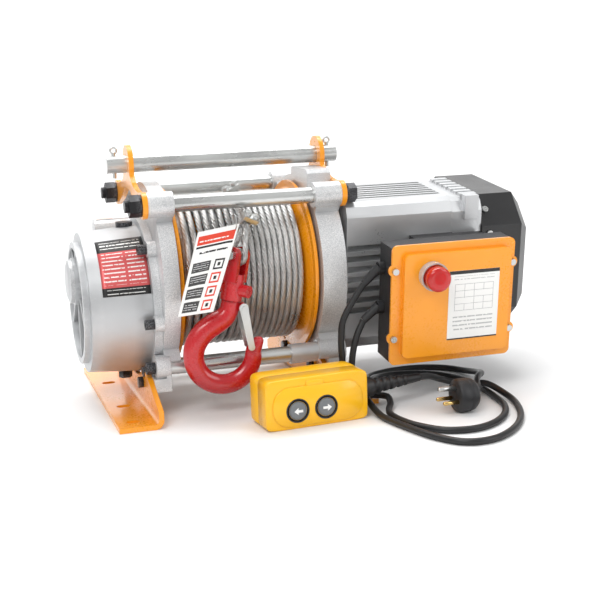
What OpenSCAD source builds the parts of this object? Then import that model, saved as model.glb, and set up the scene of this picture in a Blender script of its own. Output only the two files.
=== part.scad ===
// Electric wire rope hoist with a pendant control. X runs along the drum and motor, -Y is the front.
// The origin is the centre of the pattern of foot slots, on the surface that the feet stand on.

/* [Frame] */
// Height of the drum and motor axis
axis_z = 127; // [125:1:130]
// Distance of each tie rod from the axis, front and rear
rod_y = 74; // [73:1:76]
// Distance of each tie rod from the axis, up and down
rod_dz = 80; // [79:1:82]
// Diameter of the tie rods
rod_d = 16; // [14:1:17]
// Diameter of the hanging rod
hang_rod_d = 18; // [16:1:20]
// Height of the hanging rod
hang_z = 242; // [240:1:250]

/* [Feet] */
// Length of each foot, front to rear
foot_len = 252; // [246:2:264]
// Thickness of the foot plates
foot_t = 5; // [4:0.5:6]
// Distance of the slots from the middle, along the axis
slot_x = 113.5; // [112:0.5:115]
// Inner slots, distance from the middle
slot_y_inner = 49; // [47:1:54]
// Outer slots, distance from the middle
slot_y_outer = 107; // [104:1:110]
// Width of a slot
slot_w = 9; // [8:0.5:10]
// Length of a slot
slot_l = 14; // [12:1:18]

/* [Drum] */
// Radius of the drum flanges
flange_r = 89; // [86:1:90]
// Radius of the drum barrel
barrel_r = 64; // [62:1:66]
// Diameter of the wire rope
rope_d = 6; // [5:0.5:6]
// Turns of rope in one layer
rope_turns = 20; // [16:1:20]

/* [Motor] */
// Tilt of the motor about the drum axis
motor_tilt = 7; // [0:1:8]
// Outer radius of the stator core
stator_r = 60; // [56:1:60]
// Outer radius of the rotor core
rotor_r = 38; // [34:1:38]

/* [Pendant and cords] */
// Length of the pendant
pendant_len = 104; // [100:1:106]
// Depth of the pendant, front to back
pendant_w = 43; // [40:1:44]
// Height of the pendant as it lies
pendant_h = 48.5; // [44:0.5:50]
// Diameter of the two cords
cord_d = 6.5; // [6:0.5:6.5]

/* [Hidden] */
run_gap = 0.05;         // radial clearance of every running fit
rod_r = rod_d / 2;
zt = axis_z + rod_dz;   // height of the upper tie tubes
zb = axis_z - rod_dz;   // height of the lower tie rods

// Places along the axis
lf_out = -84;           // outer face of the left casting's lugs
lf_mid = -75;           // joint between the left casting and the gearbox
lf_in = -59;            // drum side of the left casting
rf_in = 86;             // drum side of the right casting
rf_out = 111;           // motor side of the right casting
plate_t = 5;            // thickness of the hanger plates
foot_x = 87;            // drum side of each foot's upright flange
bearing_w = 14;
bearing_r = 31;
journal_r = 17.5;
shaft_bore_r = 9;

// Gearbox
gear_z = 104.5;         // centre of the gearbox casting
gear_out = -142;        // end face of the gearbox casting
gear_r_in = 66;
press_angle = 25;
backlash = 0.16;
d_oa = 36;              // rotor pinion to layshaft A
d_ab = 37.5;            // layshaft A to layshaft B
d_bo = 39;              // layshaft B to the drum gear
a_oa = 240;
a_ob = a_oa + acos((d_oa * d_oa + d_bo * d_bo - d_ab * d_ab) / (2 * d_oa * d_bo));
lay_a = [d_oa * cos(a_oa), axis_z + d_oa * sin(a_oa)];
lay_b = [d_bo * cos(a_ob), axis_z + d_bo * sin(a_ob)];
a_ab = atan2(lay_b[1] - lay_a[1], lay_b[0] - lay_a[0]);
lay_r = 4;
ear_angles = [44, -8, -51];
ear_r = 84;             // circle of the gearbox screws

// Motor, in its own tilted frame
frame_end = 232;
shield_end = 266;
cover_end = 312;
motor_half = 74;
motor_top = 78;

// Pendant
pendant_at = [48.6, -152.2, 0];
pendant_yaw = 4.8;
button_x = [-21, 8];
button_z = 18;
button_r = 9;

// Hook group
hook_pin = [-3, -101, 157];
hook_lean = 11;
clevis_yaw = 45;

// Tag: centre of the wire ring it hangs on
tag_hinge = [-7, -111.4, 190.5];
tag_ring_r = 7;
tag_t = 0.8;

// Cord routes
power_route = [
    [119, -119.5, 121.5], [107, -118, 104], [97, -118, 86], [94.5, -118, 68], [95, -118, 48],
    [96.5, -116, 29], [102, -110, 14], [112, -100, 8.6], [124, -85, 8.4], [137, -65, 8.4],
    [149, -43, 4.2], [166, -29, 3.4], [190, -22, 3.4], [218, -23, 3.4], [243, -36, 3.4],
    [256, -58, 4.2], [259, -80, 7.6], [255, -100, 12], [247, -116, 15.5], [239, -127, 17],
    [232, -138, 16], [226, -152, 13]
];
pendant_route = [
    [119, -116, 84], [110.5, -118, 68], [105.5, -119.5, 50], [104.5, -120, 33], [108, -121, 19],
    [116, -122, 10.8], [127, -124, 8.5], [136, -133, 8.3], [134, -147, 6], [127, -161, 3.6],
    [122.5, -178, 3.4], [125, -200, 3.4], [133, -222, 3.4], [150, -243, 3.4], [176, -249, 3.4],
    [201, -239, 3.4], [222, -218, 3.4], [236, -190, 3.4], [240.5, -160, 3.4], [243, -133, 3.4],
    [243, -108, 3.4], [238, -84, 3.4], [225, -60, 3.4], [202, -44, 3.4], [178, -39, 3.4],
    [159, -48, 5.2], [146, -66, 8.4], [136, -88, 8.6], [126, -107, 12.5], [118, -121, 16.8],
    [113.5, -135, 12], [112, -148, 8.4], [112.5, -180, 3.4], [120, -216, 3.4], [133, -256, 3.4],
    [152, -281, 3.4], [180, -282, 3.4], [210, -261, 3.4], [234, -228, 3.4], [249, -190, 3.4],
    [252, -163, 5], [244, -137, 10.4], [232, -124, 9], [218, -117, 9.5], [203, -114, 14],
    [187, -121, 20.5], [171, -132, 24]
];
plug_end = [205, -181, 15.5];

function inv_angle(a) = tan(a) * 180 / PI - a;
function half_tooth(m, z, r) =
    let (rp = m * z / 2, rb = rp * cos(press_angle))
    (PI * m / 2 - backlash / 2) / (2 * rp) * 180 / PI + inv_angle(press_angle)
    - (r > rb ? inv_angle(acos(rb / r)) : 0);
function polar(r, a) = [r * cos(a), r * sin(a)];
function ear(s, a) = [s * ear_r * cos(a), gear_z + ear_r * sin(a)];
function flank(m, z) =
    let (rp = m * z / 2, rb = rp * cos(press_angle), rf = rp - 1.25 * m, ra = rp + 0.9 * m)
    [rf, max(rb, rf + 0.05), (max(rb, rf) + ra) / 2, ra];
function gear_points(m, z, phase) =
    let (rs = flank(m, z))
    [for (i = [0 : z - 1], k = [0 : 7])
        let (r = rs[k < 4 ? k : 7 - k], side = k < 4 ? -1 : 1)
        polar(r, phase + i * 360 / z + side * half_tooth(m, z, r))];

// A side direction carried along a route without twist, and the rings of a tube swept along it
function unit(v) = v / norm(v);
function route_dir(p, i) = unit(p[min(i + 1, len(p) - 1)] - p[max(i - 1, 0)]);
function across(s, d) = unit(s - (s * d) * d);
function sides_along(p) =
    [for (i = 0, s = across([0.31, 0.74, 0.6], route_dir(p, 0)); i < len(p);
        i = i + 1, s = i < len(p) ? across(s, route_dir(p, i)) : s) s];
function ring(c, d, s, r, n) =
    let (u = cross(s, d))
    [for (k = [0 : n - 1]) c + r * (cos(360 * k / n) * s + sin(360 * k / n) * u)];

module tube(p, r, n) {
    m = len(p);
    s = sides_along(p);
    points = [for (i = [0 : m - 1], q = ring(p[i], route_dir(p, i), s[i], r, n)) q];
    sides = [for (i = [0 : m - 2], k = [0 : n - 1])
        [i * n + k, i * n + (k + 1) % n, (i + 1) * n + (k + 1) % n, (i + 1) * n + k]];
    first = [[for (k = [0 : n - 1]) n - 1 - k]];
    last = [[for (k = [0 : n - 1]) (m - 1) * n + k]];
    polyhedron(points, concat(sides, first, last), convexity = 10);
}

// Shapes along the axis: x0 to x1, in outline coordinates (y, z)
module rod_x(x0, x1, r, y = 0, z = 0, fn = 64) {
    translate([x0, y, z]) rotate([0, 90, 0]) cylinder(h = x1 - x0, r = r, $fn = fn);
}

module slab_x(x0, x1) {
    translate([x0, 0, 0]) rotate([90, 0, 90]) linear_extrude(x1 - x0) children();
}

// Turned shape about the drum axis, from points of radius and place along the axis
module turned(points, fn = 96) {
    translate([0, 0, axis_z]) rotate([0, 90, 0]) rotate_extrude($fn = fn) polygon(points);
}

module ring_x(x0, x1, r_in, r_out) {
    turned([[r_in, x0], [r_out, x0], [r_out, x1], [r_in, x1]]);
}

module hex_x(x0, x1, flats, y, z) {
    rod_x(x0, x1, flats / 2 / cos(30), y, z, 6);
}

module motor_place() {
    translate([0, 0, axis_z]) rotate([motor_tilt, 0, 0]) children();
}

module rod_y_at(x, y0, y1, r, z, fn = 48) {
    translate([x, y1, z]) rotate([90, 0, 0]) cylinder(h = y1 - y0, r = r, $fn = fn);
}

module lugs(zs, r) {
    for (y = [-rod_y, rod_y], z = zs) translate([y, z]) circle(r = r, $fn = 48);
}

module lug_arms(zs, r) {
    for (y = [-rod_y, rod_y], z = zs)
        translate([0, axis_z])
            rotate(atan2(z - axis_z, y))
                translate([70, -r * 0.85])
                    square([norm([rod_y, rod_dz]) - 70, r * 1.7]);
}

// Outline of the low part of each casting, where its foot is bolted on
module foot_pad_outline() {
    polygon([[-86, 25], [86, 25], [84, 52], [40, 70], [-40, 70], [-84, 52]]);
}

module left_frame() {
    color("silver")
    difference() {
        union() {
            slab_x(lf_mid, lf_in) {
                translate([0, axis_z]) circle(r = 96, $fn = 96);
                lug_arms([zt, zb], 12.5);
            }
            slab_x(lf_mid, lf_in + 0.5) lugs([zt], 12.5);
            slab_x(lf_mid, -70) {
                lugs([zb], 12.5);
                foot_pad_outline();
            }
            slab_x(lf_out, lf_mid) lugs([zt, zb], 12.5);
            slab_x(-foot_x, lf_mid)
                difference() {
                    foot_pad_outline();
                    translate([-150, 38]) square([300, 60]);
                }
        }
        slab_x(-foot_x - 1, lf_mid) {
            translate([0, gear_z]) circle(r = 83, $fn = 96);
            for (s = [-1, 1], a = ear_angles) translate(ear(s, a)) circle(r = 9, $fn = 32);
        }
        ring_x(lf_mid - 1, lf_mid + bearing_w, 0, bearing_r);
        ring_x(lf_mid, lf_in + 1, 0, 27);
        for (p = [lay_a, lay_b]) rod_x(lf_mid - 1, -67, lay_r + run_gap, p[0], p[1], 32);
        for (y = [-rod_y, rod_y]) {
            rod_x(lf_out - 1, lf_in + 2, 5, y, zt, 32);
            rod_x(-foot_x - 1, lf_in + 2, 5, y, zb, 32);
            rod_x(-70, lf_in + 2, rod_r, y, zb, 32);
        }
        for (y = [-46, 46]) rod_x(-foot_x - 1, -70, 3, y, 27, 32);
        for (s = [-1, 1], a = ear_angles)
            rod_x(lf_mid - 1, lf_mid + 10, 3, ear(s, a)[0], ear(s, a)[1], 24);
    }
}

module right_frame() {
    color("silver")
    difference() {
        union() {
            slab_x(rf_in, rf_out) {
                translate([0, axis_z]) circle(r = 95, $fn = 96);
                lug_arms([zt, zb], 12.5);
                polygon([[-50, 190], [5, 190], [5, 228], [2, 230], [-46, 230], [-50, 226]]);
            }
            slab_x(83, rf_out) lugs([zt], 12.5);
            slab_x(83, rf_out) lugs([zb], 12.5);
            slab_x(foot_x + foot_t, rf_out) foot_pad_outline();
            rod_x(54, 83, 10, -rod_y, zb, 48);
            rod_x(54, 83, 10, rod_y, zb, 48);
        }
        ring_x(rf_in + 2, rf_in + 2 + bearing_w, 0, bearing_r);
        ring_x(rf_in - 1, rf_out + 1, 0, 27);
        ring_x(104, rf_out + 1, 0, 62);
        for (y = [-rod_y, rod_y]) {
            rod_x(82, rf_out + 1, 5, y, zt, 32);
            rod_x(53, 83, rod_r, y, zb, 32);
            rod_x(82, rf_out + 1, 5, y, zb, 32);
        }
        for (y = [-46, 46]) rod_x(foot_x, foot_x + 19, 3, y, 27, 32);
        // Room for the foot's upright flange below the disc
        translate([rf_in - 4, -140, 0]) cube([foot_x + foot_t - rf_in + 4, 280, 41]);
    }
}

module tie_tube(y) {
    color("gainsboro")
    difference() {
        rod_x(lf_in + 0.5, 83, rod_r, y, zt);
        rod_x(lf_in - 1, 84, 5, y, zt, 32);
    }
}

module tie_tube_front() { tie_tube(-rod_y); }

module tie_tube_rear() { tie_tube(rod_y); }

module tie_rods_lower() {
    color("gainsboro")
    for (y = [-rod_y, rod_y])
        difference() {
            rod_x(-70, 83, rod_r, y, zb);
            rod_x(-71, 84, 5, y, zb, 32);
        }
}

// Long bolts through the castings: hexagon heads and nuts above, socket heads below
module tie_bolts() {
    for (y = [-rod_y, rod_y]) {
        color("dimgray") {
            rod_x(-101, 116, 5, y, zt, 32);
            rod_x(-105, -101, 6, y, zt, 32);
        }
        color("black") {
            hex_x(119, 128, 17, y, zt);
            rod_x(116, 119, 10, y, zt, 32);
            difference() {
                union() {
                    hex_x(-101, -91, 19, y, zt);
                    rod_x(-91, -89, 10.5, y, zt, 32);
                }
                rod_x(-102, -88, 5, y, zt, 32);
            }
            rod_x(lf_out, rf_out, 5, y, zb, 32);
            difference() {
                rod_x(lf_out - 9, lf_out, 5.8, y, zb, 32);
                rod_x(lf_out - 10, lf_out - 5, 3.4, y, zb, 6);
            }
        }
    }
}

// Half outline of a hanger plate, from the rod's boss out along the concave top and back below
hanger_half = [
    [15, 243], [18, 232], [27, 225], [42, 220.5], [60, 218.5], [74, 218.5],
    [74, 195.5], [60, 197], [36, 206], [14, 217]
];

module hanger_outline() {
    translate([0, hang_z]) circle(r = 19, $fn = 64);
    lugs([zt], 13);
    polygon(concat(
        [for (i = [len(hanger_half) - 1 : -1 : 0]) hanger_half[i]],
        [for (q = hanger_half) [-q[0], q[1]]]
    ));
}

module hanger_plate(x0) {
    color("darkorange")
    difference() {
        slab_x(x0, x0 + plate_t) hanger_outline();
        rod_x(x0 - 1, x0 + plate_t + 1, hang_rod_d / 2 + run_gap, 0, hang_z);
        for (y = [-rod_y, rod_y]) rod_x(x0 - 1, x0 + plate_t + 1, 5, y, zt, 32);
    }
}

module hanger_plate_left() { hanger_plate(lf_out - plate_t); }

module hanger_plate_right() { hanger_plate(rf_out); }

module hanging_rod() {
    color("gainsboro")
    difference() {
        rod_x(-109, 133, hang_rod_d / 2, 0, hang_z);
        for (x = [-101, 124.5]) translate([x, 0, hang_z - 20]) cylinder(h = 40, r = 2, $fn = 24);
    }
}

module cotter_pins() {
    color("silver")
    for (x = [-101, 124.5]) translate([x, 0, 0]) {
        translate([0, 0, hang_z - 14]) cylinder(h = 26, r = 2, $fn = 24);
        translate([0, 0, hang_z + 14]) rotate([90, 0, 0])
            rotate_extrude($fn = 32) translate([3, 0]) circle(r = 1.2, $fn = 16);
    }
}

module foot_profile() {
    half = foot_len / 2;
    difference() {
        polygon([[-half, 0], [half, 0], [half, 17], [66, 40], [-66, 40], [-half, 17]]);
        translate([-30, 32]) square([60, 10]);
        translate([0, gear_z]) circle(r = 78, $fn = 96);
        for (s = [-1, 1]) translate(ear(s, ear_angles[2])) circle(r = 6.5, $fn = 32);
    }
}

module slot_outline(l, w) {
    square([l - w, w], center = true);
    for (e = [-1, 1]) translate([e * (l - w) / 2, 0]) circle(d = w, $fn = 48);
}

// A bent foot plate, reaching outward from its upright flange; side is -1 at the gearbox and 1 at the motor
module foot(side) {
    bend = foot_t + 4;
    color("darkorange")
    mirror([side < 0 ? 1 : 0, 0, 0])
    difference() {
        union() {
            difference() {
                slab_x(foot_x, foot_x + foot_t) foot_profile();
                translate([foot_x - 1, -foot_len, -1]) cube([bend, 2 * foot_len, bend + 1]);
            }
            translate([foot_x + bend, -foot_len / 2, 0]) cube([130 - foot_x - bend, foot_len, foot_t]);
            translate([foot_x + bend, foot_len / 2, bend]) rotate([90, 0, 0])
                linear_extrude(foot_len) difference() {
                    circle(r = bend, $fn = 96);
                    circle(r = bend - foot_t, $fn = 64);
                    translate([0, -20]) square([20, 40]);
                    translate([-20, 0]) square([40, 20]);
                }
        }
        for (y = [-slot_y_outer, -slot_y_inner, slot_y_inner, slot_y_outer])
            translate([slot_x, y, -1]) linear_extrude(foot_t + 2) slot_outline(slot_l, slot_w);
        for (y = [-46, 46]) rod_x(foot_x - 1, foot_x + foot_t + 1, 3, y, 27, 32);
    }
}

module foot_left() { foot(-1); }

module foot_right() { foot(1); }

module foot_bolts() {
    color("black")
    for (s = [-1, 1], y = [-46, 46]) mirror([s < 0 ? 1 : 0, 0, 0]) {
        if (s < 0) {
            rod_x(71, foot_x + foot_t, 3, y, 27, 24);
            hex_x(foot_x + foot_t, foot_x + foot_t + 5, 10, y, 27);
        } else {
            rod_x(foot_x, foot_x + 18, 3, y, 27, 24);
            hex_x(foot_x - 5, foot_x, 10, y, 27);
        }
    }
}

module gearbox_barrel(r1, r2, x1, x2) {
    translate([x2, 0, gear_z]) rotate([0, 90, 0]) cylinder(h = x1 - x2, r1 = r2, r2 = r1, $fn = 128);
}

module gearbox_housing() {
    ribs = 8;
    color("silver")
    difference() {
        union() {
            gearbox_barrel(76, 71, lf_mid, gear_out);
            rod_x(lf_mid - 8, lf_mid, 82, 0, gear_z, 128);
            for (s = [-1, 1], a = ear_angles)
                rod_x(lf_mid - 9, lf_mid, 8, ear(s, a)[0], ear(s, a)[1], 32);
            difference() {
                rod_x(gear_out - 6, gear_out, 62, 0, gear_z, 96);
                rod_x(gear_out - 7, gear_out, 56, 0, gear_z, 96);
            }
            rod_x(gear_out - 8, gear_out, 24, 0, axis_z);
            intersection() {
                rod_x(gear_out - 4, gear_out, 57, 0, gear_z, 96);
                union() for (i = [0 : ribs - 1])
                    translate([gear_out - 4, 0, axis_z]) rotate([i * 360 / ribs, 0, 0])
                        translate([0, -2.5, 20]) cube([4, 5, 90]);
            }
            rod_x(-121, -84, 12, 34, 172, 48);
            rod_x(-104, -84, 9, 4, 167.5, 48);
        }
        rod_x(-136, lf_mid + 1, gear_r_in, 0, gear_z, 96);
        rod_x(-139.5, -130, lay_r + run_gap, 0, axis_z, 32);
        for (p = [lay_a, lay_b]) rod_x(-140, -130, lay_r + run_gap, p[0], p[1], 32);
        translate([-94, 4, 160]) cylinder(h = 30, r = 5, $fn = 32);
        translate([-94, 4, 176.5]) cylinder(h = 20, r = 9, $fn = 48);
        translate([-102, 0, 20]) cylinder(h = 20, r = 5, $fn = 32);
        for (s = [-1, 1], a = ear_angles)
            rod_x(lf_mid - 10, lf_mid + 1, 3, ear(s, a)[0], ear(s, a)[1], 24);
    }
}

module gearbox_screws() {
    color("black")
    for (s = [-1, 1], a = ear_angles) {
        y = ear(s, a)[0];
        z = ear(s, a)[1];
        difference() {
            union() {
                rod_x(lf_mid - 18, lf_mid - 9, 5, y, z, 32);
                rod_x(lf_mid - 9, lf_mid + 10, 3, y, z, 24);
            }
            rod_x(lf_mid - 19, lf_mid - 13.5, 2.9, y, z, 6);
        }
    }
}

module bearing_cap() {
    color("silver")
    turned([[0, -156], [16, -156], [22, -154], [22, gear_out - 8], [0, gear_out - 8]], 64);
}

module oil_plugs() {
    color("black") {
        translate([-94, 4, 176.5]) cylinder(h = 7, r = 8.5, $fn = 48);
        translate([-94, 4, 166]) cylinder(h = 11, r = 5, $fn = 32);
        translate([-102, 0, 22.5]) cylinder(h = 6, r = 7, $fn = 6);
        translate([-102, 0, 28.5]) cylinder(h = 10.5, r = 5, $fn = 32);
    }
}

module drum() {
    color("darkorange")
    turned([
        [shaft_bore_r, -106], [12.5, -106], [12.5, -78], [journal_r, -78], [journal_r, -57.5],
        [flange_r - 1, -57.5], [flange_r, -56.5], [flange_r, -53.5], [barrel_r + 18, -53.5],
        [barrel_r, -50.5], [barrel_r, 73.5], [barrel_r + 18, 79.5], [flange_r, 79.5],
        [flange_r, 82.5], [flange_r - 1, 83.5], [journal_r, 83.5], [journal_r, 103],
        [shaft_bore_r, 103], [shaft_bore_r, 69], [barrel_r - 6, 69], [barrel_r - 6, -46],
        [shaft_bore_r, -46]
    ], 128);
}

module rope_winding() {
    pitch = (73.5 + 50.5) / rope_turns;
    r_out = barrel_r + 2 * rope_d + 0.5;
    crest = [for (i = [0 : rope_turns - 1], k = [0 : 3])
        [r_out - (k == 0 ? 2 : (k == 2 ? 0 : 0.6)), -50.4 + pitch * (i + k / 4) * 0.998]];
    color("lightgray")
    turned(concat([[barrel_r, -50.4]], crest, [[r_out - 2, 73.3], [barrel_r, 73.3]]), 64);
}

module gear_x(x0, x1, m, z, phase, c) {
    slab_x(x0, x1) translate(c) polygon(gear_points(m, z, phase));
}

module output_gear() {
    color("dimgray")
    difference() {
        gear_x(-104, -90, 1.5, 38, a_ob + 180 / 38, [0, axis_z]);
        rod_x(-105, -89, 12.5, 0, axis_z);
    }
}

module layshaft_a() {
    color("dimgray") {
        rod_x(-139.5, -67.5, lay_r, lay_a[0], lay_a[1], 32);
        difference() {
            union() {
                gear_x(-132, -122, 1, 60, a_oa - 180 + 180 / 60, lay_a);
                gear_x(-122, -107, 1.25, 12, a_ab, lay_a);
            }
            rod_x(-133, -106, lay_r, lay_a[0], lay_a[1], 32);
        }
    }
}

module layshaft_b() {
    color("dimgray") {
        rod_x(-139.5, -67.5, lay_r, lay_b[0], lay_b[1], 32);
        difference() {
            union() {
                gear_x(-118, -108, 1.25, 48, a_ab + 180 + 180 / 48, lay_b);
                gear_x(-108, -89, 1.5, 14, a_ob - 180, lay_b);
            }
            rod_x(-119, -88, lay_r, lay_b[0], lay_b[1], 32);
        }
    }
}

module motor_shaft() {
    color("silver") {
        turned([[0, -139], [4, -139], [4, -132], [4.6, -132], [4.6, -122], [5, -122], [5, -100],
                [6, -100], [6, 124], [8, 124], [8, 236], [6, 236], [6, 270], [5, 270], [5, 306],
                [0, 306]], 48);
        difference() {
            gear_x(-132, -122.5, 1, 12, a_oa, [0, axis_z]);
            rod_x(-133, -121, 4.6, 0, axis_z, 48);
        }
    }
}

module rotor_core() {
    color("gray")
    turned([[8, 128], [14, 128], [14, 132], [rotor_r - 12, 132], [rotor_r - 12, 127], [rotor_r - 3, 127],
            [rotor_r - 3, 135], [rotor_r, 135], [rotor_r, 205], [rotor_r - 3, 205], [rotor_r - 3, 213],
            [rotor_r - 12, 213], [rotor_r - 12, 208], [14, 208], [14, 212], [8, 212]]);
}

module stator_core() {
    color("gray") ring_x(135, 205, rotor_r + 0.5, stator_r);
}

module stator_windings() {
    color("peru") {
        turned([[42, 124], [45, 122], [54, 122], [57, 125], [57, 135], [42, 135]]);
        turned([[42, 205], [57, 205], [57, 215], [54, 218], [45, 218], [42, 216]]);
    }
}

module bearing(x0, w, r_in, r_out) {
    t = (r_out - r_in) * 0.28;
    ring_x(x0, x0 + w, r_in, r_in + t);
    ring_x(x0 + 1, x0 + w - 1, r_in + t, r_out - t);
    ring_x(x0, x0 + w, r_out - t, r_out);
}

module drum_bearings() {
    color("silver") {
        bearing(lf_mid, bearing_w, journal_r + run_gap, bearing_r);
        bearing(rf_in + 2, bearing_w, journal_r + run_gap, bearing_r);
    }
}

module motor_bearings() {
    color("silver") {
        bearing(116, 7.9, 6 + run_gap, 14);
        bearing(244, 8, 6 + run_gap, 14);
    }
}

module motor_outline(half, top) {
    polygon([[-half, top - 14], [-half + 5, top - 4], [-half + 12, top], [16, top],
             [half - 6, top - 20], [half, top - 30], [half, -top + 14], [half - 12, -top],
             [-half + 12, -top], [-half, -top + 14]]);
}

module motor_frame() {
    groove = 4.5;
    color("silver")
    motor_place()
    difference() {
        union() {
            slab_x(117, frame_end) motor_outline(motor_half, motor_top);
            rod_x(rf_out + 0.02, 118, 70, 0, 0, 96);
            slab_x(150, 190) polygon([[60, 40], [82, 40], [82, -10], [60, -10]]);
        }
        rod_x(121, frame_end + 1, stator_r + 0.02, 0, 0, 96);
        rod_x(116, 122, 14, 0, 0, 48);
        rod_x(rf_out - 1, 117, shaft_bore_r, 0, 0, 48);
        for (i = [0 : 6]) {
            translate([118, -motor_half - 1, 29 - i * 11]) cube([110, groove + 1, 6]);
            translate([118, motor_half - groove, -48 + i * 7]) cube([110, groove + 1, 4]);
            translate([118, -50 + i * 9, motor_top - 3]) cube([110, 4.5, 4]);
            translate([118, -57 + i * 17, -motor_top - 1]) cube([110, 9, groove + 1]);
        }
        translate([190, -motor_half - 1, -8]) cube([20, 20, 16]);
    }
}

module end_shield() {
    color("silver")
    motor_place()
    difference() {
        union() {
            slab_x(frame_end, shield_end) motor_outline(motor_half - 1, motor_top - 1);
            for (i = [0 : 6]) translate([244, -66 + i * 12, motor_top - 9]) cube([18, 7, 11]);
            translate([245, -motor_half - 3, 55]) cube([15, 12, 25]);
            for (i = [0 : 6])
                translate([frame_end + 2, -motor_half - 1, -46 + i * 12]) cube([30, 3, 5]);
        }
        rod_x(frame_end - 1, 244, 62, 0, 0, 96);
        rod_x(243, 252, 14, 0, 0, 48);
        rod_x(251, 262, 7.5, 0, 0, 48);
        rod_x(260, shield_end + 1, 60, 0, 0, 96);
    }
}

module fan() {
    blades = 8;
    color("dimgray")
    motor_place()
    difference() {
        union() {
            rod_x(280, 300, 13, 0, 0, 48);
            rod_x(280, 283, 54, 0, 0, 64);
            for (i = [0 : blades - 1])
                rotate([i * 360 / blades, 0, 0]) translate([282, -1.25, 12]) cube([16, 2.5, 42]);
        }
        rod_x(279, 301, 5, 0, 0, 48);
    }
}

module cover_outline(k) {
    polygon(k * [[-48, 74], [48, 74], [76, 46], [76, -46], [48, -74], [-48, -74], [-76, -46], [-76, 46]]);
}

module fan_cover() {
    wall = 2.5;
    color("black")
    motor_place()
    difference() {
        union() {
            slab_x(shield_end, cover_end) cover_outline(1);
            hull() {
                slab_x(cover_end - 1, cover_end) cover_outline(1);
                slab_x(325, 326) cover_outline(0.8);
            }
        }
        slab_x(shield_end - 1, cover_end - 1) cover_outline(0.965);
        hull() {
            slab_x(cover_end - 2, cover_end - 1) cover_outline(0.965);
            slab_x(322, 326 - wall) cover_outline(0.77);
        }
        for (i = [-4 : 4]) translate([318, -36, i * 9 - 2]) cube([12, 72, 4]);
    }
}

// Screws of the fan cover and of the control box lid
module cover_screws() {
    color("silver")
    motor_place() {
        for (s = [-1, 1]) {
            translate([275, s * 62.8, 60.8]) rotate([-s * 45, 0, 0])
                cylinder(h = 2, r = 3.4, center = true, $fn = 24);
            translate([275, s * 77.05, 38]) rotate([90, 0, 0])
                cylinder(h = 2, r = 3.4, center = true, $fn = 24);
        }
        lid_screw_places() {
            rod_y_at(0, -148.5, -145, 3.2, 0, 24);
            rod_y_at(0, -145, -132, 1.6, 0, 24);
        }
    }
}

module brake_disc() {
    color("saddlebrown") ring_x(220, 225, 8, 32);
}

module brake_armature() {
    color("gray") ring_x(225.05, 229, 10, 34);
}

module brake_coil() {
    color("gray") ring_x(229.5, 243.95, 10, 36);
}

module shell_box(x0, x1, y0, y1, z0, z1, t) {
    difference() {
        translate([x0, y0, z0]) cube([x1 - x0, y1 - y0, z1 - z0]);
        translate([x0 + t, y0 - 1, z0 + t]) cube([x1 - x0 - 2 * t, y1 - y0 - t + 1, z1 - z0 - 2 * t]);
    }
}

module terminal_box() {
    color("dimgray")
    motor_place()
    difference() {
        shell_box(185, 262, -112, -motor_half, -40, 42, 3);
        translate([192, -motor_half - 5, -7]) cube([16, 6, 14]);
        // The pedestal clears the ribs of the end shield
        translate([frame_end, -motor_half - 4, -50]) cube([60, 5, 100]);
    }
}

// Places of the four screws that hold the lid of the control box
module lid_screw_places() {
    for (x = [141, 266], z = [27, -42]) translate([x, 0, z]) children();
}

module control_box_base() {
    color("dimgray")
    motor_place()
    difference() {
        union() {
            shell_box(138.5, 268.5, -142, -112, -67, 49, 3);
            lid_screw_places() rod_y_at(0, -142, -130, 3.4, 0, 24);
        }
        translate([196, -116, -20]) cube([40, 5, 40]);
        for (z = [24, -16]) rod_x(130, 150, 4, -121, z, 24);
        lid_screw_places() rod_y_at(0, -143, -131, 1.6, 0, 24);
    }
}

module round_rect(w, h, r) {
    translate([r, 0]) square([w - 2 * r, h]);
    translate([0, r]) square([w, h - 2 * r]);
    for (x = [r, w - r], y = [r, h - r]) translate([x, y]) circle(r = r, $fn = 48);
}

// Rounded block with its back at y1 and its front at y0; at is its low corner in x and z
module lid_block(at, w, h, r, y0, y1) {
    translate([at[0], y1, at[1]]) rotate([90, 0, 0]) linear_extrude(y1 - y0) round_rect(w, h, r);
}

module control_box_lid() {
    color("darkorange")
    motor_place()
    difference() {
        union() {
            lid_block([138, -70], 130.5, 122, 6, -145, -142);
            lid_block([149, -62], 113.5, 106, 6, -151, -144.9);
            lid_screw_places() rod_y_at(0, -145, -142, 6, 0, 32);
        }
        lid_block([152, -59], 107.5, 100, 4, -148, -141);
        rod_y_at(177.6, -152, -140, 8.3, 22);
        lid_screw_places() rod_y_at(0, -150, -140, 1.6, 0, 24);
    }
}

module contactor() {
    color("ivory")
    motor_place() {
        translate([200, -138, -45]) cube([42, 22, 50]);
        translate([206, -141, -38]) cube([30, 3, 36]);
    }
}

module capacitor() {
    color("white") motor_place() rod_x(196, 250, 14, -93, 0, 48);
}

module stop_button() {
    color("red")
    motor_place() {
        rod_y_at(177.6, -171, -156, 12.3, 22);
        rod_y_at(177.6, -156, -136, 8, 22);
    }
}

module stop_button_collar() {
    color("whitesmoke")
    motor_place()
    difference() {
        rod_y_at(177.6, -159, -151, 14.2, 22);
        rod_y_at(177.6, -160, -150, 12.8, 22);
    }
}

// Glands on the left wall of the control box, drooping where the cords leave
module gland(z, tip) {
    y = -121 * cos(motor_tilt) - z * sin(motor_tilt);
    zz = axis_z - 121 * sin(motor_tilt) + z * cos(motor_tilt);
    root = [132.5, y, zz];
    d = tip - root;
    color("dimgray") {
        motor_place() {
            rod_x(132.5, 138.5, 6.5, -121, z, 32);
            rod_x(138.5, 146, 3.9, -121, z, 24);
        }
        translate(root) rotate([0, acos(d[2] / norm(d)), atan2(d[1], d[0])])
            translate([0, 0, -2]) cylinder(h = norm(d) + 2, r1 = 5, r2 = 3.8, $fn = 32);
    }
}

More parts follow.
